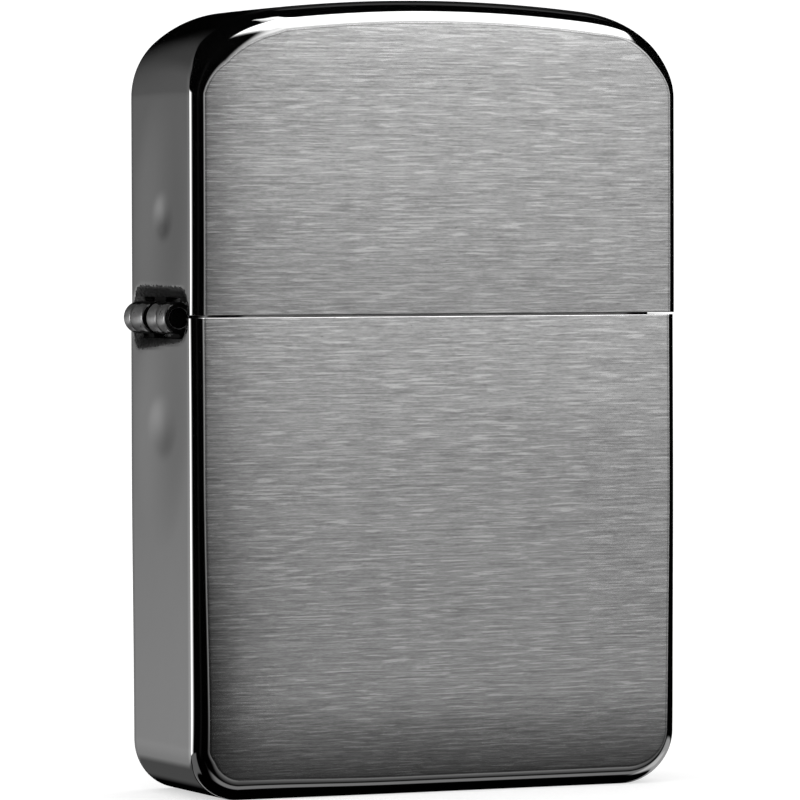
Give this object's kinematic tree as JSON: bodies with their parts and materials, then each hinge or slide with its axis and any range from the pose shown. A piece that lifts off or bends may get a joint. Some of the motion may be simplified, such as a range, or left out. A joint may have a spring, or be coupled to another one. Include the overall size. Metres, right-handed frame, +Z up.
{
  "type": "pocket lighter",
  "caption": "Flip-top windproof petrol lighter: hinged lid over a rounded metal case, with cam, flint wheel, chimney, wick and packing.",
  "frame": {"origin": "centre of the case's flat base, midway between its left and right sides and its front and back", "axes": "+Z up the lighter, -Y out of the broad front face, -X towards the hinge"},
  "size_m": [0.0393, 0.013, 0.0571],
  "materials": {
    "shell_steel": "brushed front and back, polished sides and edges",
    "hinge_steel": "satin, dark in the recess",
    "unit_steel": "satin",
    "wheel_steel": "knurled, dark",
    "spring_steel": "polished wire and strip",
    "brass": "turned",
    "flint_alloy": "dull",
    "wick_cotton": "braided cotton",
    "packing_cotton": "loose cotton",
    "felt": "pressed felt"
  },
  "bodies": {
    "case": {"case_bottom": "shell_steel", "hinge_leaf_case": "hinge_steel", "hinge_pin": "hinge_steel", "chamber_front": "unit_steel", "chamber_back": "unit_steel", "top_plate": "unit_steel", "wind_chimney": "unit_steel", "wheel_rivet": "brass", "cam_rivet": "brass", "cam_spring": "spring_steel", "cam_spring_rivet": "brass", "flint_tube": "brass", "flint_spring": "spring_steel", "flint_screw": "brass", "wick": "wick_cotton", "cotton_packing_1": "packing_cotton", "cotton_packing_2": "packing_cotton", "cotton_packing_3": "packing_cotton", "cotton_packing_4": "packing_cotton", "cotton_packing_5": "packing_cotton", "felt_pad": "felt"},
    "lid": {"lid": "shell_steel", "hinge_leaf_lid": "hinge_steel"},
    "wheel": {"flint_wheel": "wheel_steel"},
    "cam": {"cam": "unit_steel"},
    "flint_feed": {"flint": "flint_alloy", "spring_tip": "brass"}
  },
  "joints": [
    {"name": "lid_hinge", "type": "hinge", "parent": "case", "child": "lid", "pos_m": [-0.01905, 0, 0.03438], "axis": [0, -1, 0], "range_deg": [0, 130]},
    {"name": "cam_pivot", "type": "hinge", "parent": "case", "child": "cam", "pos_m": [-0.0125, 0, 0.0376], "axis": [0, -1, 0], "range_deg": [0, 52]},
    {"name": "flint_wheel_spin", "type": "hinge", "parent": "case", "child": "wheel", "pos_m": [0.0113, 0, 0.0428], "axis": [0, 1, 0], "continuous": true},
    {"name": "flint_feed", "type": "slide", "parent": "case", "child": "flint_feed", "axis": [0, 0, 1], "range_m": [-0.002, 0], "stiffness_N_per_m": 60, "springref_m": 0.02, "deforming": ["flint_spring"]}
  ],
  "couplings": [
    {"joint": "cam_pivot", "follows": "lid_hinge", "ratio": 0.4}
  ]
}
